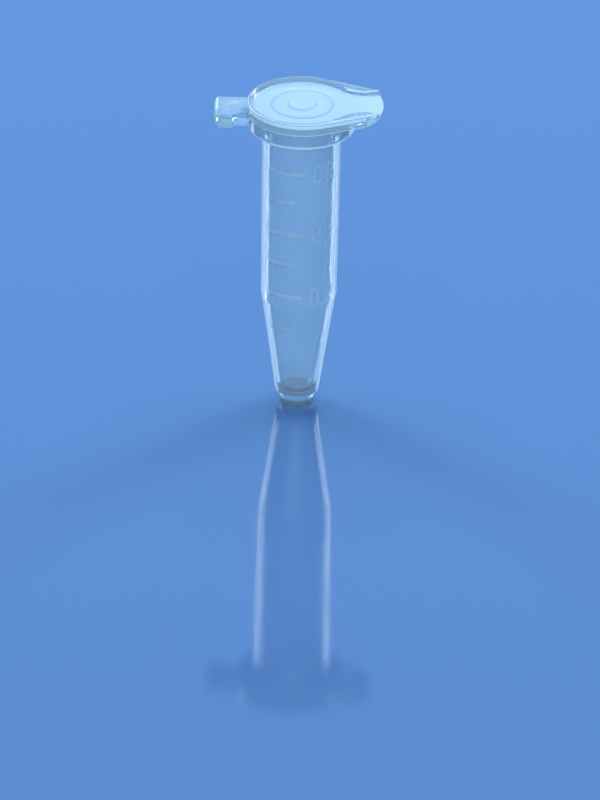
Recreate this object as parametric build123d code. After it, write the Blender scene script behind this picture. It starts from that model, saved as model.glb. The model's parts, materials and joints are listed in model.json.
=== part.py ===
from build123d import *
from math import cos, degrees, radians, sin
import os

# Microcentrifuge tube of about 0.6 ml with an attached snap lid, moulded in polypropylene.
# Millimetres. The origin is the centre of the standing face, +Z is up the tube's axis,
# +X points at the thumb tab and the hinge lies on -X. The graduations face -Y.

# Driving dimensions -------------------------------------------------------------------

# tube, from the bottom up
foot_r = 1.60
foot_top_r = 1.78
foot_z = 0.70
cone_start_r = 2.14
cone_start_z = 1.30
knee_r = 3.66
knee_z = 11.80
barrel_low_r = 3.74
barrel_high_r = 3.90
knee_step = 0.30
gauge_low_z = 28.40
collar_low_z = 30.50
mouth_z = 32.05

# bore, from the floor up
floor_z = 1.50
floor_r = 0.95
well_r = 1.62
well_z = 2.20
bore_knee_r = 3.02
bore_high_r = 3.16
bore_high_z = 31.35
mouth_r = 3.42

# collar round the mouth
collar_r = 5.28
collar_edge = 0.15
collar_fillet = 0.25
collar_seat_r = 3.88

# lid
lid_r = 5.42
lid_low_z = 32.07
lid_flat_z = 32.95
lid_top_z = 33.40
plate_r = 4.95
plate_split_r = 4.85
edge_round = 0.28

# raised disc in the middle of the lid
boss_r = 1.42
boss_h = 0.12

# sealing plug under the lid
plug_r = 3.11
plug_taper_start = 1.00
plug_end_r = 2.68
plug_bore_r = 2.38
plug_depth = 3.05

# thumb tab
tab_tip_x = 8.05
tab_side_angle = 68.0
tab_side_end = (7.65, 2.55)
tab_corner = 0.70
tab_undercut_x = 6.60
tab_undercut_top_z = 32.82
tab_plate_low_z = 32.42
tab_wall = 0.62
hollow_end_x = 6.15
hollow_side_end = (5.85, 2.45)
pocket_leave_angle = 47.0
pocket_side = [(4.35, 2.72), (5.70, 2.34), (7.10, 2.30)]
pocket_end = (9.0, 3.10)

# hinge
hinge_x = -8.60
hinge_z = 32.10
film_r = 0.15
film_width = 2.40
leaf_width = 2.60
hinge_gap = 0.03
lobe_x = -7.00
lobe_top_z = 33.00
lobe_low_z = 30.85
lobe_round_high = 0.35
lobe_round_low = 0.75
lower_leaf_top_z = 31.87
lower_leaf_low_z = 31.08
upper_leaf_low_z = 32.66

# graduations: volume in ml, height of the bar's middle, angle of its right end
graduations = [
    (0.1, 9.33, -5.0),
    (0.2, 13.25, 6.0),
    (0.3, 16.90, -9.0),
    (0.4, 20.25, 6.0),
    (0.5, 23.85, -8.0),
    (0.6, 27.05, 5.0),
]
bar_left_angle = -50.0
bar_height = 0.52
mark_relief = 0.06
mark_slope = 0.12

# numerals beside the long bars
digit_height = 2.0
digit_width = 1.0
stroke = 0.22
digit_pitch = 1.32
point_size = 0.28
numeral_angle = 25.0


# Helpers ------------------------------------------------------------------------------


def upright_face(points, radii=0):
    """A face in the plane of X and Z, from (x, z) corners, each with its own rounding."""
    if radii == 0:
        radii = [0] * len(points)
    outline = FilletPolyline(*[(x, 0, z) for x, z in points], radius=radii, close=True)
    return make_face(outline.edges())


def turned(points, radii=0):
    """A solid of revolution about the tube's axis, from (radius, z) corners."""
    return revolve(upright_face(points, radii), Axis.Z, 360)


def across(points, width, radii=0):
    """A bar along Y, centred on it, with the given (x, z) outline."""
    return extrude(upright_face(points, radii), width / 2, dir=(0, 1, 0), both=True)


def cylinder_z(radius, low, high):
    """An upright cylinder on the tube's axis."""
    return extrude(Pos(0, 0, low) * Circle(radius), high - low)


def plan_face(outline, z):
    """A flat face at height z inside a closed outline in plan."""
    return Pos(0, 0, z) * make_face(outline)


def outer_radius(z):
    """Radius of the tube's outer wall at height z."""
    runs = [
        (cone_start_z, cone_start_r, knee_z, knee_r),
        (knee_z, knee_r, knee_z + knee_step, barrel_low_r),
        (knee_z + knee_step, barrel_low_r, gauge_low_z, barrel_high_r),
        (gauge_low_z, barrel_high_r, mouth_z, barrel_high_r),
    ]
    for low_z, low_r, high_z, high_r in runs:
        if low_z <= z <= high_z:
            return low_r + (high_r - low_r) * (z - low_z) / (high_z - low_z)
    raise ValueError(f"no wall at {z}")


def save(name, shape):
    """Writes one sub-part under its own name."""
    shape.label = name
    export_step(shape, f"parts/{name}.step")


# Tube ---------------------------------------------------------------------------------


def standing_foot():
    """Small drafted disc that the tube stands on."""
    points = [(0, 0), (foot_r, 0), (foot_top_r, foot_z), (0, foot_z)]
    return turned(points, [0, 0.08, 0, 0])


def conical_tip():
    """Tapered lower wall with its thick closed bottom and rounded well."""
    points = [
        (0, foot_z),
        (foot_top_r, foot_z),
        (cone_start_r, cone_start_z),
        (knee_r, knee_z),
        (bore_knee_r, knee_z),
        (well_r, well_z),
        (floor_r, floor_z),
        (0, floor_z),
    ]
    return turned(points, [0, 0, 0.5, 0, 0, 0.6, 0.5, 0])


def barrel():
    """Straight upper wall, slightly drafted, with a true cylinder under the collar."""
    points = [
        (knee_r, knee_z),
        (barrel_low_r, knee_z + knee_step),
        (barrel_high_r, gauge_low_z),
        (barrel_high_r, collar_low_z - collar_fillet),
        (collar_seat_r, mouth_z),
        (mouth_r, mouth_z),
        (bore_high_r, bore_high_z),
        (bore_knee_r, knee_z),
    ]
    return turned(points)


def rim_collar():
    """Flange round the mouth, which the lid rests on and the hinge grows from."""
    points = [
        (barrel_high_r, collar_low_z - collar_fillet),
        (barrel_high_r + collar_fillet, collar_low_z),
        (collar_r, collar_low_z),
        (collar_r, mouth_z),
        (collar_seat_r, mouth_z),
    ]
    return turned(points, [0, 0, collar_edge, 0.1, 0])


def lower_hinge_leaf():
    """Strap from the collar out to the fold, with a rounded lobe at its outer end."""
    end_x = hinge_x + hinge_gap
    top_z = hinge_z - hinge_gap
    points = [
        (-collar_r + 0.5, lower_leaf_top_z),
        (-collar_r - 0.1, lower_leaf_top_z),
        (lobe_x, top_z),
        (end_x, top_z),
        (end_x, lobe_low_z),
        (lobe_x + 0.1, lobe_low_z),
        (lobe_x + 0.35, lower_leaf_low_z),
        (-collar_r + 0.5, lower_leaf_low_z),
    ]
    leaf = across(points, leaf_width, [0, 0, 0.2, 0, lobe_round_low, 0.15, 0.15, 0])
    return leaf - cylinder_z(collar_r, 30, 34) - film_room(film_r)


def film_room(radius):
    """Cylinder along the fold line."""
    return Pos(hinge_x, 0, hinge_z) * Rot(90, 0, 0) * Cylinder(radius, 2 * leaf_width)


def hinge_film():
    """Thin web along the fold line that the lid turns about."""
    return Pos(hinge_x, 0, hinge_z) * Rot(90, 0, 0) * Cylinder(film_r, film_width)


def graduation_bar(z, right_angle):
    """Raised bar that follows the wall, from the left side round to its right end."""
    low_z, high_z = z - bar_height / 2, z + bar_height / 2
    low_r, high_r = outer_radius(low_z), outer_radius(high_z)
    points = [
        (low_r, low_z),
        (low_r + mark_relief, low_z + mark_slope),
        (high_r + mark_relief, high_z - mark_slope),
        (high_r, high_z),
    ]
    sweep_angle = right_angle - bar_left_angle
    bar = revolve(upright_face(points), Axis.Z, sweep_angle)
    return Rot(0, 0, bar_left_angle - 90) * bar


def zero_digit():
    """Upright oval ring."""
    outer = SlotOverall(digit_height, digit_width)
    inner = SlotOverall(digit_height - 2 * stroke, digit_width - 2 * stroke)
    return Rot(0, 0, 90) * (outer - inner)


def six_bowl():
    """Round loop of the numeral six."""
    height = digit_width * 1.2
    inner = RectangleRounded(digit_width - 2 * stroke, height - 2 * stroke, 0.2)
    return RectangleRounded(digit_width, height, 0.42) - inner


def stroked(points, rounding):
    """A line of even width through the given points, with rounded turns."""
    return trace(FilletPolyline(*points, radius=rounding), stroke)


def digit(number):
    """One generic numeral, centred, drawn with strokes of even width."""
    right = (digit_width - stroke) / 2
    top = (digit_height - stroke) / 2
    if number == 0:
        return zero_digit()
    if number == 2:
        hook = [(-right, top - 0.45), (-right, top), (right, top), (right, 0.15)]
        return stroked(hook + [(-right, -top), (right, -top)], [0.36, 0.36, 0.3, 0])
    if number == 4:
        sail = stroked([(right, -0.3), (-right, -0.3), (0.2, top)], [0])
        return sail + Pos(0.2, 0) * Rectangle(stroke, digit_height)
    bowl = Pos(0, (digit_width * 1.2 - digit_height) / 2) * six_bowl()
    return bowl + stroked([(right, top), (-right, top), (-right, -0.4)], [0.38])


def wrapped(flat, angle, z):
    """A flat glyph raised from the wall at an angle from the front, as a thin relief."""
    cutter = Pos(0, 0, z) * Rot(0, 0, angle) * Rot(90, 0, 0) * extrude(flat, 2 * barrel_high_r)
    half = digit_height / 2 + 0.1
    low_r, high_r = outer_radius(z - half), outer_radius(z + half)
    shell = turned(
        [
            (low_r, z - half),
            (low_r + mark_relief, z - half),
            (high_r + mark_relief, z + half),
            (high_r, z + half),
        ]
    )
    return [solid for solid in (shell & cutter).solids()]


def graduation_numeral(tenths, z):
    """A zero, a decimal point and a digit, set side by side round the wall."""
    turn = degrees(digit_pitch / outer_radius(z))
    point = Pos(0, -(digit_height - point_size) / 2) * Circle(point_size / 2)
    solids = wrapped(digit(0), numeral_angle, z)
    solids += wrapped(point, numeral_angle + turn * 0.62, z)
    solids += wrapped(digit(tenths), numeral_angle + turn * 1.24, z)
    return Compound(children=solids)


# Lid ----------------------------------------------------------------------------------


def on_circle(radius, angle):
    """Point in plan at an angle from +X."""
    return (radius * cos(radians(angle)), radius * sin(radians(angle)))


def mirrored(point):
    """The point on the other side of the lid's centre line."""
    return (point[0], -point[1])


def teardrop_edges(radius, angle, side_end, tip_x):
    """Round outline that runs out in two nearly straight sides to a bulged end."""
    start = on_circle(radius, angle)
    lean = (sin(radians(angle)), -cos(radians(angle)))
    side = TangentArc(start, side_end, tangent=lean)
    back = ThreePointArc(start, (-radius, 0), mirrored(start))
    other = TangentArc(mirrored(start), mirrored(side_end), tangent=mirrored(lean))
    end = ThreePointArc(side_end, (tip_x, 0), mirrored(side_end))
    return [side, back, other, end]


def teardrop(low_z, high_z, inset=0.0):
    """Solid with the lid's outline, optionally drawn in on all sides."""
    side_end = (tab_side_end[0] - inset, tab_side_end[1] - inset)
    edges = teardrop_edges(lid_r - inset, tab_side_angle, side_end, tab_tip_x - inset)
    solid = extrude(plan_face(edges, low_z), high_z - low_z)
    corners = [e for e in solid.edges().filter_by(Axis.Z) if e.center().X > 6]
    return fillet(corners, tab_corner)


def flat_pocket():
    """The lowered top: round over the lid, waisted along the tab and open at its end."""
    start = on_circle(plate_r, pocket_leave_angle)
    lean = (sin(radians(pocket_leave_angle)), -cos(radians(pocket_leave_angle)))
    side_points = [start, *pocket_side, pocket_end]
    upper = Spline(*side_points, tangents=[lean, (0.7, 0.7)])
    lower = Spline(*[mirrored(p) for p in side_points], tangents=[mirrored(lean), (0.7, -0.7)])
    back = ThreePointArc(start, (-plate_r, 0), mirrored(start))
    close = Line(pocket_end, mirrored(pocket_end))
    return extrude(plan_face([upper, back, lower, close], lid_flat_z), 2)


def tab_end_cutter():
    """Wedge that slopes the tab's end inwards towards its underside."""
    points = [
        (tab_undercut_x, lid_low_z - 0.5),
        (tab_undercut_x, lid_low_z),
        (tab_tip_x + 0.05, tab_undercut_top_z),
        (tab_tip_x + 2, tab_undercut_top_z),
        (tab_tip_x + 2, lid_low_z - 0.5),
    ]
    return across(points, 12)


def tab_hollow():
    """Shallow hollow under the tab, inside its skirt."""
    edges = teardrop_edges(lid_r - tab_wall, tab_side_angle, hollow_side_end, hollow_end_x)
    hollow = extrude(plan_face(edges, lid_low_z - 0.1), tab_plate_low_z - lid_low_z + 0.1)
    return hollow - cylinder_z(lid_r, 30, 35)


def lid_blank():
    """The whole lid and tab as one shape, before it is parted into its regions."""
    blank = teardrop(lid_low_z, lid_top_z)
    top_edges = blank.faces().sort_by(Axis.Z)[-1].edges()
    blank = fillet(top_edges, edge_round)
    return blank - flat_pocket() - tab_end_cutter() - tab_hollow()


def centre_boss():
    """Low round disc in the middle of the lid."""
    top_z = lid_flat_z + boss_h
    points = [(0, lid_flat_z), (boss_r, lid_flat_z), (boss_r, top_z), (0, top_z)]
    return turned(points, [0, 0, 0.08, 0])


def sealing_plug():
    """Hollow skirt under the lid that enters the bore, tapered so that it swings clear."""
    end_z = lid_low_z - plug_depth
    points = [
        (plug_bore_r, lid_low_z),
        (plug_r, lid_low_z),
        (plug_r, lid_low_z - plug_taper_start),
        (plug_end_r, end_z),
        (plug_bore_r, end_z),
    ]
    return turned(points, [0, 0, 0, 0.12, 0.06])


def upper_hinge_leaf():
    """Strap from the lid out to the fold, with a rounded lobe that folds onto the lower one."""
    end_x = hinge_x + hinge_gap
    low_z = hinge_z + hinge_gap
    points = [
        (-lid_r + 0.5, upper_leaf_low_z),
        (-lid_r, upper_leaf_low_z),
        (lobe_x - 0.2, low_z),
        (end_x, low_z),
        (end_x, lobe_top_z),
        (-lid_r + 0.5, lobe_top_z),
    ]
    leaf = across(points, leaf_width, [0, 0, 0.2, 0, lobe_round_high, 0])
    return leaf - cylinder_z(lid_r, 30, 35) - film_room(film_r + 0.02)


# Assembly -----------------------------------------------------------------------------


def main():
    os.makedirs("parts", exist_ok=True)
    save("standing_foot", standing_foot())
    save("conical_tip", conical_tip())
    save("barrel", barrel())
    save("rim_collar", rim_collar())
    save("lower_hinge_leaf", lower_hinge_leaf())
    save("hinge_film", hinge_film())
    for volume, z, right_angle in graduations:
        tenths = round(volume * 10)
        save(f"graduation_bar_0_{tenths}_ml", graduation_bar(z, right_angle))
        if tenths % 2 == 0:
            save(f"graduation_numeral_0_{tenths}", graduation_numeral(tenths, z))

    blank = lid_blank()
    plate_core = cylinder_z(plate_split_r, 30, 35)
    lid_core = cylinder_z(lid_r, 30, 35)
    save("lid_plate", blank & plate_core)
    save("lid_border", (blank - plate_core) & lid_core)
    save("thumb_tab", blank - lid_core)
    save("centre_boss", centre_boss())
    save("sealing_plug", sealing_plug())
    save("upper_hinge_leaf", upper_hinge_leaf())


main()
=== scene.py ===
import json
import math

import bmesh
import bpy
from mathutils import Matrix, Vector


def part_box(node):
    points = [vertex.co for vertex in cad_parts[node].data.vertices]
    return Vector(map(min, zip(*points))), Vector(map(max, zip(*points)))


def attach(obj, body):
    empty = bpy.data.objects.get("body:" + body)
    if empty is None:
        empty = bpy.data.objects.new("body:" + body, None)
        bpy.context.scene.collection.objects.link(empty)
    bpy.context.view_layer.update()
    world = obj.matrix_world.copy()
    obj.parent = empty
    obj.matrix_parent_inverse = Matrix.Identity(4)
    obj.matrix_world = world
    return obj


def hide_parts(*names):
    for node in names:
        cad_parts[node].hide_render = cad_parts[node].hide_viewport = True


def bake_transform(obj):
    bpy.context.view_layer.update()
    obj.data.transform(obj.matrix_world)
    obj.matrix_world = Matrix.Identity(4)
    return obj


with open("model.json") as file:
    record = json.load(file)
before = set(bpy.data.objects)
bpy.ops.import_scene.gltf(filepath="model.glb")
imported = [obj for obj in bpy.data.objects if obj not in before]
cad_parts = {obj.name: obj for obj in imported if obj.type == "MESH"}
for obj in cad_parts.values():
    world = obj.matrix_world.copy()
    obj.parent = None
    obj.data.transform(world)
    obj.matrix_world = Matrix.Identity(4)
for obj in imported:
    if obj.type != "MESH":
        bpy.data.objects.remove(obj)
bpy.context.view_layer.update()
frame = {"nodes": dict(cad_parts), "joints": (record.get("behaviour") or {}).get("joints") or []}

MM = 0.001

# Places read from the frame, in millimetres -------------------------------------------


def low(node, axis):
    """Lowest coordinate of a CAD node along an axis."""
    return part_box(node)[0][axis] / MM


def high(node, axis):
    """Highest coordinate of a CAD node along an axis."""
    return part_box(node)[1][axis] / MM


X, Y, Z = 0, 1, 2
hinge = frame["joints"][0]
hinge_x, _, hinge_z = [v / MM for v in hinge["pos_m"]]

foot_z = high("standing_foot", Z)
foot_top_r = high("standing_foot", X)
knee_z = high("conical_tip", Z)
knee_r = high("conical_tip", X)
barrel_r = high("barrel", X)
mouth_z = high("rim_collar", Z)
collar_r = high("rim_collar", X)
lid_low_z = low("lid_border", Z)
lid_top_z = high("lid_border", Z)
lid_flat_z = high("lid_plate", Z)
lid_r = high("lid_border", Y)
plate_r = high("lid_plate", Y)
boss_r = high("centre_boss", X)
boss_top_z = high("centre_boss", Z)
plug_r = high("sealing_plug", X)
plug_end_z = low("sealing_plug", Z)
tab_tip_x = high("thumb_tab", X)
leaf_width = 2 * high("upper_hinge_leaf", Y)
leaf_end_x = low("upper_hinge_leaf", X)
leaf_top_z = high("upper_hinge_leaf", Z)
lobe_low_z = low("lower_hinge_leaf", Z)

# Wall details that no box gives, in millimetres ----------------------------------------

SKIN = 0.01
foot_r = 1.60
shoulder_r = 2.14
shoulder_z = 1.30
barrel_low_r = 3.74
knee_rise = 0.30
gauge_low_z = 28.40
collar_low_z = 30.50
floor_z = 1.50
floor_r = 0.95
well_r = 1.62
well_z = 2.20
bore_knee_r = 3.02
bore_high_r = 3.16
bore_high_z = 31.35
mouth_r = 3.42
plug_bore_r = 2.38
plug_end_r = 2.68
plug_straight = 1.00
strap_top_z = 31.87
strap_low_z = 31.08
lobe_x = -7.00
upper_strap_low_z = 32.66
flat_r = 4.82
crest_r = 5.18
tab_side_angle = math.radians(68)
tab_side_end = (7.65, 2.55)
tab_corner = 0.70
undercut_x = 6.60
undercut_top_z = 32.82
lip_x = 6.35
groove_depth = 0.09
groove_edges = (2.82, 2.91, 3.02, 3.12, 3.23, 3.32)

# Mesh helpers ---------------------------------------------------------------------------


def arc_corner(before, corner, after, radius, steps):
    """Points of a rounded corner between two straight runs in a plane."""
    a, c, b = Vector(before), Vector(corner), Vector(after)
    u, v = (a - c).normalized(), (b - c).normalized()
    angle = u.angle(v)
    reach = radius / math.tan(angle / 2)
    reach = min(reach, (a - c).length * 0.49, (b - c).length * 0.49)
    radius = reach * math.tan(angle / 2)
    centre = c + (u + v).normalized() * (radius / math.sin(angle / 2))
    start, end = c + u * reach - centre, c + v * reach - centre
    turn = start.angle_signed(end)
    points = []
    for i in range(steps + 1):
        spin = Matrix.Rotation(-turn * i / steps, 2)
        points.append(centre + spin @ start)
    return points


def rounded(corners, radii, steps=6, closed=False):
    """A line through 2-D corners with each corner rounded, and extra points beside the arcs."""
    count = len(corners)
    line = []
    for i, corner in enumerate(corners):
        inner = closed or 0 < i < count - 1
        if inner and radii[i] > 0:
            before, after = corners[i - 1], corners[(i + 1) % count]
            line += arc_corner(before, corner, after, radii[i], steps)
        else:
            line.append(Vector(corner))
    return with_support(line, closed)


def with_support(line, closed, margin=0.08, longest=1.6):
    """Adds points near the ends of long runs, so that flat walls shade flat."""
    out = []
    runs = len(line) if closed else len(line) - 1
    for i in range(runs):
        a, b = line[i], line[(i + 1) % len(line)]
        out.append(a)
        length = (b - a).length
        if length > 4 * margin:
            pieces = max(1, math.ceil((length - 2 * margin) / longest))
            first, last = margin / length, 1 - margin / length
            for k in range(pieces + 1):
                out.append(a.lerp(b, first + (last - first) * k / pieces))
    if not closed:
        out.append(line[-1])
    return out


def mesh_object(name, bm):
    """A new object, smooth shaded, from a bmesh in millimetres."""
    bmesh.ops.remove_doubles(bm, verts=bm.verts, dist=1e-5)
    bmesh.ops.recalc_face_normals(bm, faces=bm.faces)
    bmesh.ops.scale(bm, vec=(MM, MM, MM), verts=bm.verts)
    mesh = bpy.data.meshes.new(name)
    bm.to_mesh(mesh)
    bm.free()
    for polygon in mesh.polygons:
        polygon.use_smooth = True
    obj = bpy.data.objects.new(name, mesh)
    bpy.context.scene.collection.objects.link(obj)
    return obj


def skin_rings(bm, rings, close_ends=False, start=None, end=None):
    """Joins closed rings of equal count with quads, with optional end points."""
    loops = [[bm.verts.new(p) for p in ring] for ring in rings]
    count = len(loops[0])
    for a, b in zip(loops, loops[1:]):
        for i in range(count):
            j = (i + 1) % count
            bm.faces.new((a[i], a[j], b[j], b[i]))
    if close_ends:
        bm.faces.new(loops[0])
        bm.faces.new(loops[-1])
    for tip, loop in ((start, loops[0]), (end, loops[-1])):
        if tip is not None:
            centre = bm.verts.new(tip)
            for i in range(count):
                bm.faces.new((loop[i], loop[(i + 1) % count], centre))


def unite(base, *others):
    """Joins closed meshes into one solid with no walls left inside."""
    for other in others:
        modifier = base.modifiers.new("join", "BOOLEAN")
        modifier.operation = "UNION"
        modifier.solver = "EXACT"
        modifier.object = other
        with bpy.context.temp_override(object=base, active_object=base):
            bpy.ops.object.modifier_apply(modifier=modifier.name)
        bpy.data.objects.remove(other)
    base.data.set_sharp_from_angle(angle=math.radians(40))


# Tube ------------------------------------------------------------------------------------


def tube_profile():
    """Half section of the tube, from under the foot, up the outside and down the bore."""
    outer = [
        ((0, 0), 0),
        ((foot_r, 0), 0.10),
        ((foot_top_r, foot_z), 0.12),
        ((shoulder_r, shoulder_z), 0.55),
        ((knee_r, knee_z), 0.8),
        ((barrel_low_r, knee_z + knee_rise), 0.8),
        ((barrel_r, gauge_low_z), 2.0),
        ((barrel_r, collar_low_z), 0.22),
        ((collar_r, collar_low_z), 0.20),
        ((collar_r, mouth_z), 0.14),
    ]
    inner = [
        ((mouth_r, mouth_z), 0.10),
        ((bore_high_r, bore_high_z), 0.3),
        ((bore_knee_r, knee_z), 1.0),
        ((well_r, well_z), 0.7),
        ((floor_r, floor_z), 0.5),
        ((0, floor_z), 0),
    ]
    # the wall below the collar stands a hair proud of the CAD, over the marks' inner faces
    for i in range(1, 8):
        (r, z), bend = outer[i]
        outer[i] = ((r + SKIN, z), bend)
    points = outer + inner
    return rounded([point for point, _ in points], [bend for _, bend in points])


def lathe(name, profile, segments=160):
    """A closed solid of revolution from a half section that starts and ends on the axis."""
    bm = bmesh.new()
    rings = []
    for r, z in profile[1:-1]:
        turns = [2 * math.pi * i / segments for i in range(segments)]
        rings.append([(r * math.cos(t), r * math.sin(t), z) for t in turns])
    skin_rings(bm, rings, start=(0, 0, profile[0][1]), end=(0, 0, profile[-1][1]))
    return mesh_object(name, bm)


def strap(name, outline, width, edge=0.10):
    """A bar along Y with a closed (x, z) outline and softened end edges."""
    bm = bmesh.new()
    centre = sum((Vector(p) for p in outline), Vector((0, 0))) / len(outline)
    stations = []
    for i in range(4):
        turn = math.pi / 2 * i / 3
        stations.append((width / 2 - edge * (1 - math.sin(turn)), edge * (1 - math.cos(turn))))
    stations = stations[::-1]
    half = [(-y, inset) for y, inset in stations]
    other = [(y, inset) for y, inset in reversed(stations)]
    rings = []
    for y, inset in half + other:
        ring = []
        for p in outline:
            toward = centre - Vector(p)
            p2 = Vector(p) + toward.normalized() * inset
            ring.append((p2.x, y, p2.y))
        rings.append(ring)
    skin_rings(bm, rings, close_ends=True)
    return mesh_object(name, bm)


def lower_strap():
    """Lower half of the hinge, which grows out of the collar and ends in a rounded lobe."""
    root_x = -collar_r + 0.6
    corners = [
        (root_x, strap_top_z),
        (-collar_r - 0.1, strap_top_z),
        (lobe_x, hinge_z - 0.03),
        (leaf_end_x, hinge_z - 0.03),
        (leaf_end_x, lobe_low_z),
        (lobe_x + 0.05, lobe_low_z),
        (lobe_x + 0.25, strap_low_z),
        (root_x, strap_low_z),
    ]
    outline = rounded(corners, [0, 0.3, 0.25, 0.15, 0.80, 0.15, 0.15, 0], steps=6, closed=True)
    return strap("lower_strap", outline, leaf_width)


def upper_strap():
    """Upper half of the hinge, which grows out of the lid and folds onto the lower one."""
    root_x = -lid_r + 0.6
    corners = [
        (root_x, upper_strap_low_z),
        (-lid_r, upper_strap_low_z),
        (lobe_x - 0.2, hinge_z + 0.03),
        (leaf_end_x, hinge_z + 0.03),
        (leaf_end_x, leaf_top_z),
        (root_x, leaf_top_z),
    ]
    outline = rounded(corners, [0, 0.3, 0.25, 0.15, 0.35, 0], steps=6, closed=True)
    return strap("upper_strap", outline, leaf_width)


def make_tube():
    """The tube and its half of the hinge as one moulded surface."""
    shell = lathe("tube_shell", tube_profile())
    unite(shell, lower_strap())
    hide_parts("standing_foot", "conical_tip", "barrel", "rim_collar", "lower_hinge_leaf")
    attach(shell, "tube")
    return shell


# Lid -------------------------------------------------------------------------------------


def smooth_step(value, start, end):
    """0 before start, 1 after end, smooth between them."""
    t = min(1.0, max(0.0, (value - start) / (end - start)))
    return t * t * (3 - 2 * t)


def lid_angles():
    """Directions round the lid, closer together towards the tab."""
    fine, coarse = 96, 144
    spread = 42.0
    angles = [-spread + 2 * spread * i / fine for i in range(fine)]
    angles += [spread + (360 - 2 * spread) * i / coarse for i in range(coarse)]
    return [math.radians(a) for a in angles]


def cast(line, angle):
    """Distance from the lid's centre to a line of points in the given direction."""
    direction = Vector((math.cos(angle), math.sin(angle)))
    best = None
    for a, b in zip(line, line[1:] + line[:1]):
        edge = b - a
        det = direction.x * edge.y - direction.y * edge.x
        if abs(det) < 1e-12:
            continue
        along = (a.x * edge.y - a.y * edge.x) / det
        share = (a.x * direction.y - a.y * direction.x) / det
        if -1e-9 <= share <= 1 + 1e-9 and along > 0:
            best = along if best is None else max(best, along)
    return best


def half_to_full(upper):
    """Mirrors a line of points above the lid's centre line to a closed outline."""
    lower = [Vector((p.x, -p.y)) for p in reversed(upper)]
    return lower + upper


def outer_outline():
    """Teardrop edge of the lid and tab in plan."""
    end = Vector(tab_side_end)
    start = Vector((lid_r * math.cos(tab_side_angle), lid_r * math.sin(tab_side_angle)))
    lean = Vector((math.sin(tab_side_angle), -math.cos(tab_side_angle)))
    middle = start + lean * (end - start).length * 0.5
    side = [quad_bezier(start, middle, end, i / 24) for i in range(25)]
    tip = [Vector((tab_tip_x, 0)), Vector((tab_tip_x - 0.06, 1.0))]
    corner = arc_corner(tip[1], end, side[-6], tab_corner, 8)
    upper = tip + corner + side[-7::-1]
    for i in range(1, 60):
        angle = tab_side_angle + (math.pi - tab_side_angle) * i / 60
        upper.append(Vector((lid_r * math.cos(angle), lid_r * math.sin(angle))))
    return half_to_full(upper)


def quad_bezier(a, b, c, t):
    """Point on a curve from a to c that leans towards b."""
    return a * (1 - t) ** 2 + b * 2 * t * (1 - t) + c * t * t


def pocket_outline():
    """Edge of the frosted flat in plan: round, then waisted along the tab."""
    leave = math.radians(46)
    start = Vector((flat_r * math.cos(leave), flat_r * math.sin(leave)))
    waist = [(4.35, 2.62), (5.65, 2.28), (6.90, 2.24), (7.40, 2.45), (7.75, 2.80)]
    knots = [start] + [Vector(p) for p in waist]
    side = [catmull(knots, i, k / 8) for i in range(len(knots) - 1) for k in range(8)]
    side.append(knots[-1])
    upper = [Vector((tab_tip_x - 0.10, 0)), Vector((tab_tip_x - 0.16, 1.3))] + side[::-1]
    for i in range(1, 60):
        angle = leave + (math.pi - leave) * i / 60
        upper.append(Vector((flat_r * math.cos(angle), flat_r * math.sin(angle))))
    return half_to_full(upper)


def catmull(knots, i, t):
    """Point on a smooth line through the knots."""
    p1, p2 = knots[i], knots[i + 1]
    p0 = knots[i - 1] if i > 0 else p1 * 2 - p2
    p3 = knots[i + 2] if i + 2 < len(knots) else p2 * 2 - p1
    a = p1 * 2
    b = p2 - p0
    c = p0 * 2 - p1 * 5 + p2 * 4 - p3
    d = p1 * 3 - p0 - p2 * 3 + p3
    return (a + b * t + c * t * t + d * t ** 3) * 0.5


def soft_min(a, b, reach):
    """The lower of two values, with a smooth change over between them."""
    share = min(1.0, max(0.0, 0.5 + 0.5 * (b - a) / reach))
    return b + (a - b) * share - reach * share * (1 - share) / 2


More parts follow.
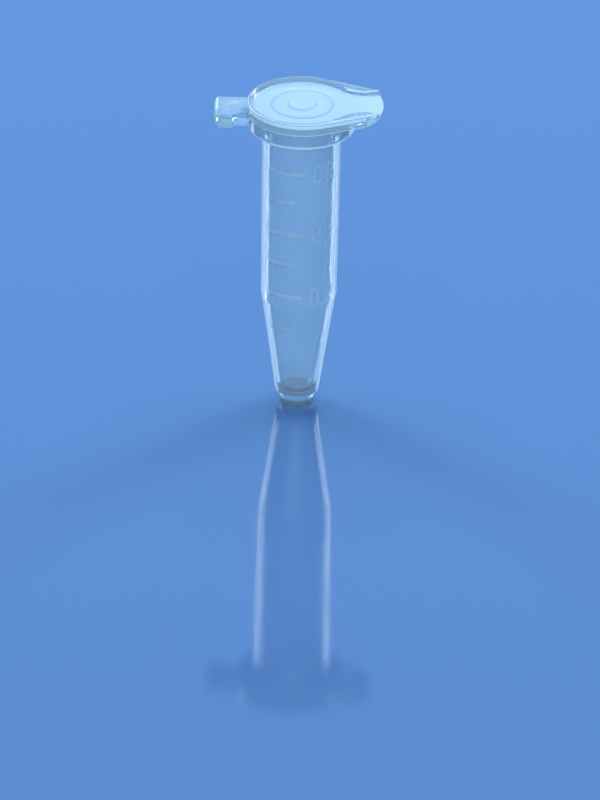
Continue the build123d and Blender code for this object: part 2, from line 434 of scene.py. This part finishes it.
def make_lid_mesh():
    """The lid in one piece, as rings from the middle of its top round to its underside."""
    angles = lid_angles()
    rim = [cast(outer_outline(), a) for a in angles]
    flat = [min(cast(pocket_outline(), a), r - 0.10) for a, r in zip(angles, rim)]
    off = [abs(math.degrees(a if a < math.pi else a - 2 * math.pi)) for a in angles]
    border = [smooth_step(o, 15.0, 19.5) for o in off]
    hollow = [1 - smooth_step(o, 27.0, 35.0) for o in off]
    rise = lid_top_z - lid_flat_z
    rings = []

    def circle(radius, z):
        rings.append([(radius * math.cos(a), radius * math.sin(a), z) for a in angles])

    def loop(radii, heights):
        ring = []
        for a, r, z in zip(angles, radii, heights):
            ring.append((r * math.cos(a), r * math.sin(a), z))
        rings.append(ring)

    def side_radii(z):
        """Outer radii at a height, where the tab's end slopes in towards its underside."""
        slope = (tab_tip_x + 0.05 - undercut_x) / (undercut_top_z - lid_low_z)
        limit = undercut_x + slope * (z - lid_low_z)
        return [soft_min(r, limit / max(math.cos(a), 0.3), 0.12) for a, r in zip(angles, rim)]

    # the raised disc in the middle, with a dished top
    for r, dip in ((0.4, 0.09), (0.75, 0.05), (boss_r - 0.30, 0.0)):
        circle(r, boss_top_z - dip)
    circle(boss_r - 0.16, boss_top_z - 0.012)
    circle(boss_r - 0.04, boss_top_z - 0.05)
    circle(boss_r + 0.08, lid_flat_z + 0.02)
    circle(boss_r + 0.20, lid_flat_z)
    # the shallow groove over the plug's wall
    circle(2.2, lid_flat_z)
    for r, dip in zip(groove_edges, (0, 0.025, groove_depth, groove_depth, 0.025, 0)):
        circle(r, lid_flat_z - dip)
    # the flat, out to the slope of the border
    circle(3.9, lid_flat_z)
    loop([3.9 + (f - 3.9) * 0.6 for f in flat], [lid_flat_z] * len(flat))
    loop([f - 0.10 for f in flat], [lid_flat_z] * len(flat))
    loop([f - 0.02 for f in flat], [lid_flat_z + 0.01 * b for b in border])
    gap = [min(crest_r - flat_r, 0.62 * (r - f)) for r, f in zip(rim, flat)]
    for across, up in ((0.10, 0.10), (0.45, 0.52), (0.72, 0.84), (0.88, 0.965)):
        slope = [f + g * across for f, g in zip(flat, gap)]
        loop(slope, [lid_flat_z + rise * b * up for b in border])
    top = [lid_flat_z + rise * b for b in border]
    loop([f + g * 1.05 for f, g in zip(flat, gap)], top)
    # the rounded outer edge and the side
    spare = [0.85 * (r - f - g * 1.05) for r, f, g in zip(rim, flat, gap)]
    edges = [min(0.24, max(s, 0.03)) for s in spare]
    for i in range(7):
        turn = math.pi / 2 * i / 6
        radii = [r - e * (1 - math.sin(turn)) for r, e in zip(rim, edges)]
        loop(radii, [t - e * (1 - math.cos(turn)) for t, e in zip(top, edges)])
    below_flat = [lid_flat_z - drop for drop in (0.30, 0.50, 0.68)]
    for z in (undercut_top_z, *below_flat, lid_low_z + 0.10):
        loop(side_radii(z), [z] * len(rim))
    foot = side_radii(lid_low_z)
    loop([r - 0.02 for r in foot], [lid_low_z + 0.03] * len(rim))
    loop([r - 0.08 for r in foot], [lid_low_z] * len(rim))
    # the underside, hollow below the tab
    skirt = [0.50 + 0.12 * h for h in hollow]
    level = [lid_low_z] * len(rim)
    just_inside = [lid_low_z + 0.03 * h for h in hollow]
    ceiling = [lid_low_z + 0.35 * h for h in hollow]
    near_ceiling = [c - 0.03 * h for c, h in zip(ceiling, hollow)]
    steps_in = ((0, level), (0.05, just_inside), (0.08, near_ceiling), (0.14, ceiling))
    for step, heights in steps_in:
        loop([r - s - step for r, s in zip(foot, skirt)], heights)
    inner = [min(r - s - 0.20, lid_r + 0.12) for r, s in zip(foot, skirt)]
    steps_out = ((0, ceiling), (0.05, near_ceiling), (0.08, just_inside), (0.14, level))
    for step, heights in steps_out:
        loop([r - step for r in inner], heights)
    circle(4.2, lid_low_z)
    # the sealing plug
    section = [
        (3.6, lid_low_z),
        (plug_r, lid_low_z),
        (plug_r, lid_low_z - plug_straight),
        (plug_end_r, plug_end_z),
        (plug_bore_r, plug_end_z),
        (plug_bore_r, lid_low_z),
        (0.4, lid_low_z),
    ]
    for r, z in rounded(section, [0, 0.12, 0.6, 0.14, 0.12, 0.35, 0], steps=5):
        circle(r, z)

    bm = bmesh.new()
    skin_rings(bm, rings, start=(0, 0, boss_top_z - 0.05), end=(0, 0, lid_low_z))
    return mesh_object("lid_shell", bm)


def make_lid():
    """The lid and its half of the hinge as one moulded surface."""
    lid = make_lid_mesh()
    unite(lid, upper_strap())
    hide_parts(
        "lid_plate", "lid_border", "thumb_tab", "centre_boss", "sealing_plug",
        "upper_hinge_leaf",
    )
    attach(lid, "lid")
    return lid


# Living hinge ------------------------------------------------------------------------------


def make_web():
    """The thin web along the fold, which stands in for the hinge film."""
    reach, thick = 0.42, 0.15
    outline = []
    for i in range(13):
        turn = math.radians(90 + 180 * i / 12)
        outer_x = hinge_x + thick * math.cos(turn)
        outline.append(Vector((outer_x, hinge_z + reach * math.sin(turn))))
    for i in range(13):
        turn = math.radians(270 - 180 * i / 12)
        inner_x = hinge_x + 0.12 + 0.4 * thick * math.cos(turn)
        outline.append(Vector((inner_x, hinge_z + reach * math.sin(turn))))
    web = strap("hinge_web", outline, leaf_width - 0.2, edge=0.05)
    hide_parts("hinge_film")
    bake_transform(web)
    return web


# Materials ---------------------------------------------------------------------------------


def plastic(name, tint, clear, roughness, grain, bump, sheen=0.0, absorb=0.0):
    """Natural polypropylene: mostly clear, slightly milky, with a faint moulded texture."""
    material = bpy.data.materials.new(name)
    material.use_nodes = True
    nodes, links = material.node_tree.nodes, material.node_tree.links
    shader = nodes["Principled BSDF"]
    shader.inputs["Transmission Weight"].default_value = clear
    shader.inputs["IOR"].default_value = 1.49
    shader.inputs["Roughness"].default_value = roughness
    shader.inputs["Sheen Weight"].default_value = sheen
    shader.inputs["Sheen Roughness"].default_value = 0.35

    place = nodes.new("ShaderNodeTexCoord")
    cloud = nodes.new("ShaderNodeTexNoise")
    cloud.inputs["Scale"].default_value = 260
    cloud.inputs["Detail"].default_value = 3
    links.new(place.outputs["Object"], cloud.inputs["Vector"])
    ramp = nodes.new("ShaderNodeValToRGB")
    ramp.color_ramp.elements[0].position = 0.3
    ramp.color_ramp.elements[0].color = (*[c * 0.97 for c in tint], 1)
    ramp.color_ramp.elements[1].position = 0.7
    ramp.color_ramp.elements[1].color = (*tint, 1)
    links.new(cloud.outputs["Fac"], ramp.inputs["Fac"])
    links.new(ramp.outputs["Color"], shader.inputs["Base Color"])

    fine = nodes.new("ShaderNodeTexNoise")
    fine.inputs["Scale"].default_value = grain
    fine.inputs["Detail"].default_value = 2
    links.new(place.outputs["Object"], fine.inputs["Vector"])
    relief = nodes.new("ShaderNodeBump")
    relief.inputs["Strength"].default_value = bump
    relief.inputs["Distance"].default_value = 0.00002
    links.new(fine.outputs["Fac"], relief.inputs["Height"])
    links.new(relief.outputs["Normal"], shader.inputs["Normal"])

    if absorb > 0:
        depth = nodes.new("ShaderNodeVolumeAbsorption")
        depth.inputs["Color"].default_value = (0.80, 0.90, 0.96, 1)
        depth.inputs["Density"].default_value = absorb
        links.new(depth.outputs["Volume"], nodes["Material Output"].inputs["Volume"])
    return material


# slot 2 is painted highlight on the edges, slot 3 painted shade on the ring
FROSTED, HIGHLIGHT, RING_SHADE = 1, 2, 3


def paint_lid(lid, clear, frosted, edge, ring):
    """Frosted on the flat and the tab's end, painted shade on a ring at the groove and the boss's
    shoulder, painted highlight at the edges, clear elsewhere.
    """
    for material in (clear, frosted, edge, ring):
        lid.data.materials.append(material)
    for polygon in lid.data.polygons:
        x, y, z = [c / MM for c in polygon.center]
        radius = math.hypot(x, y)
        on_flat = lid_flat_z - 0.12 < z < boss_top_z + 0.02
        facing_up = polygon.normal.z > 0.75
        on_lip = x > lip_x and lid_low_z - 0.1 < z < lid_flat_z + 0.02
        low_edge = abs(z - lid_low_z - 0.04) < 0.07 and abs(x) < lip_x and polygon.normal.z > -0.9
        on_side = abs(polygon.normal.z) < 0.5 and abs(z - lid_flat_z) < 0.12 and x < lip_x
        hinge_end = x < leaf_end_x + 0.25
        near_top = lid_top_z - 0.16 < z < lid_top_z - 0.02
        on_crest = near_top and radius > crest_r and x < tab_side_end[0]
        in_groove = 2.95 < radius < 3.20
        on_shoulder = boss_r - 0.12 < radius < boss_r + 0.12
        # painted shade: a darker frosted tint on the groove over the plug's wall and on the
        # boss's shoulder
        if on_flat and z > lid_low_z + 0.3 and (in_groove or on_shoulder):
            polygon.material_index = RING_SHADE
        elif (on_flat and facing_up and x > -plate_r) or on_lip:
            polygon.material_index = FROSTED
        # painted highlight on the lid's lower edge, side, crest and hinge end
        elif low_edge or on_side or hinge_end or on_crest:
            polygon.material_index = HIGHLIGHT


# slot 1 is painted highlight on the collar's lower edge and the hinge
TUBE_HIGHLIGHT, TUBE_BASE = 1, 2


def paint_tube(tube, clear, edge, base):
    """Painted highlight on the collar's lower edge and the hinge, darker, hazier and rougher at
    the base, clear elsewhere.
    """
    for material in (clear, edge, base):
        tube.data.materials.append(material)
    for polygon in tube.data.polygons:
        x, y, z = [c / MM for c in polygon.center]
        radius = math.hypot(x, y)
        collar_edge = collar_r - 0.25 < radius < collar_r + 0.01 and z < collar_low_z + 0.32
        lobe_edge = x < lobe_x and (z < lobe_low_z + 0.1 or x < leaf_end_x + 0.1)
        strap_side = x < -collar_r - 0.05 and abs(polygon.normal.y) > 0.7 and x > lobe_x
        # painted highlight on the collar's lower edge, the lobe and the strap's sides
        if (collar_edge and z > gauge_low_z) or lobe_edge or strap_side:
            polygon.material_index = TUBE_HIGHLIGHT
        # a darker, hazier, rougher skin below the shoulder
        elif z < shoulder_z + 0.1:
            polygon.material_index = TUBE_BASE


# Stage, light and camera ---------------------------------------------------------------------


def make_floor():
    """A plain glossy blue floor."""
    bm = bmesh.new()
    size = 3.0
    corners = [(-size, -size, 0), (size, -size, 0), (size, size, 0), (-size, size, 0)]
    bm.faces.new([bm.verts.new(c) for c in corners])
    mesh = bpy.data.meshes.new("floor")
    bm.to_mesh(mesh)
    bm.free()
    floor = bpy.data.objects.new("floor", mesh)
    bpy.context.scene.collection.objects.link(floor)
    material = bpy.data.materials.new("floor")
    material.use_nodes = True
    shader = material.node_tree.nodes["Principled BSDF"]
    shader.inputs["Base Color"].default_value = (0.086, 0.175, 0.36, 1)
    shader.inputs["Roughness"].default_value = 0.07
    shader.inputs["IOR"].default_value = 1.9
    floor.data.materials.append(material)


def area_light(name, place, target, size, power, colour):
    """A soft panel aimed at a point."""
    data = bpy.data.lights.new(name, "AREA")
    data.shape = "RECTANGLE"
    data.size, data.size_y = size
    data.energy = power
    data.color = colour
    light = bpy.data.objects.new(name, data)
    light.location = place
    aim = Vector(target) - Vector(place)
    light.rotation_euler = aim.to_track_quat("-Z", "Y").to_euler()
    light.visible_camera = False
    bpy.context.scene.collection.objects.link(light)
    return light


def make_light():
    """A soft blue room, with panels behind, above and low in front."""
    world = bpy.data.worlds.new("studio")
    bpy.context.scene.world = world
    world.use_nodes = True
    background = world.node_tree.nodes["Background"]
    background.inputs["Color"].default_value = (0.18, 0.39, 0.85, 1)
    background.inputs["Strength"].default_value = 0.58
    middle = (0, 0, 0.018)
    turn = math.radians(46)
    reach = 0.40
    for side, name in ((-1, "left_panel"), (1, "right_panel")):
        place = (side * reach * math.sin(turn), reach * math.cos(turn), 0.18)
        area_light(name, place, middle, (0.12, 0.18), 0.95, (0.74, 0.91, 1))
    area_light("back_panel", (0, 1.40, 0.74), middle, (0.90, 0.80), 1.9, (0.26, 0.55, 1))
    top = area_light("top_panel", (0, 0.14, 0.40), middle, (0.36, 0.30), 1.25, (0.78, 0.92, 1))
    front_place = (0, -reach, 0.075)
    front = area_light("front_panel", front_place, middle, (0.44, 0.11), 1.25, (0.66, 0.88, 1))
    # neither of these is mirrored as a bright patch in the glossy floor
    top.visible_glossy = False
    front.visible_glossy = False


def make_camera():
    """A long lens that looks down on the tube from the side with the graduations."""
    elevation = math.radians(27.84)
    distance = 1.6
    lean = math.radians(1.12)
    view_width = 59.92 * MM
    data = bpy.data.cameras.new("camera")
    camera = bpy.data.objects.new("camera", data)
    bpy.context.scene.collection.objects.link(camera)
    data.sensor_fit = "HORIZONTAL"
    data.sensor_width = 36
    data.lens = 36 * distance / view_width
    data.clip_start = 0.01
    up = Vector((0, math.sin(elevation), math.cos(elevation)))
    target = Vector((0.35 * MM, 0, 0)) - up * 0.12 * MM
    offset = Vector((0, -math.cos(elevation), math.sin(elevation))) * distance
    camera.location = target + offset
    turn = (-offset).to_track_quat("-Z", "Y").to_matrix() @ Matrix.Rotation(lean, 3, "Z")
    camera.rotation_euler = turn.to_euler()
    bpy.context.scene.camera = camera


# Assembly ------------------------------------------------------------------------------------

scene = bpy.context.scene
scene.view_settings.view_transform = "Standard"
scene.cycles.max_bounces = 24
scene.cycles.transmission_bounces = 24
scene.cycles.transparent_max_bounces = 24

make_camera()
make_light()
make_floor()

# name, tint, clearness, roughness, grain, bump
wall = plastic(
    "clear_polypropylene", (0.82, 0.95, 1.0), 0.77, 0.06, 4000, 0.10, sheen=1.0, absorb=150
)
shell = plastic("milky_polypropylene", (0.80, 0.95, 1.0), 0.76, 0.12, 4000, 0.2, sheen=0.5)
# painted shade: a darker frosted tint that stands in for the dark ring over the plug's wall and
# the shaded near side of the boss
ring_shade_skin = plastic("frosted_ring_painted_shade", (0.62, 0.82, 0.94), 0.40, 0.50, 9000, 0.5)
# darker tint, less clear and rougher, used below the tube's shoulder
base_skin = plastic("darker_base_polypropylene", (0.60, 0.84, 0.95), 0.72, 0.40, 4000, 0.2)
frost = plastic("frosted_polypropylene", (0.77, 0.96, 1.0), 0.40, 0.50, 9000, 0.5)
# painted highlight: a whiter, less clear skin where lit edges show bright lines
highlight_skin = plastic("painted_highlight_edge", (0.86, 0.97, 1.0), 0.15, 0.40, 6000, 0.3)
strap_skin = plastic("hinge_polypropylene", (0.92, 0.97, 1.0), 0.60, 0.12, 4000, 0.2)
mark_skin = plastic("mark_polypropylene", (0.82, 0.95, 1.0), 0.60, 0.20, 4000, 0.1)

tube = make_tube()
paint_tube(tube, wall, highlight_skin, base_skin)
lid = make_lid()
paint_lid(lid, shell, frost, highlight_skin, ring_shade_skin)
web = make_web()
web.data.materials.append(strap_skin)

for name, node in frame["nodes"].items():
    if name.startswith("graduation"):
        for slot in node.material_slots:
            slot.material = mark_skin
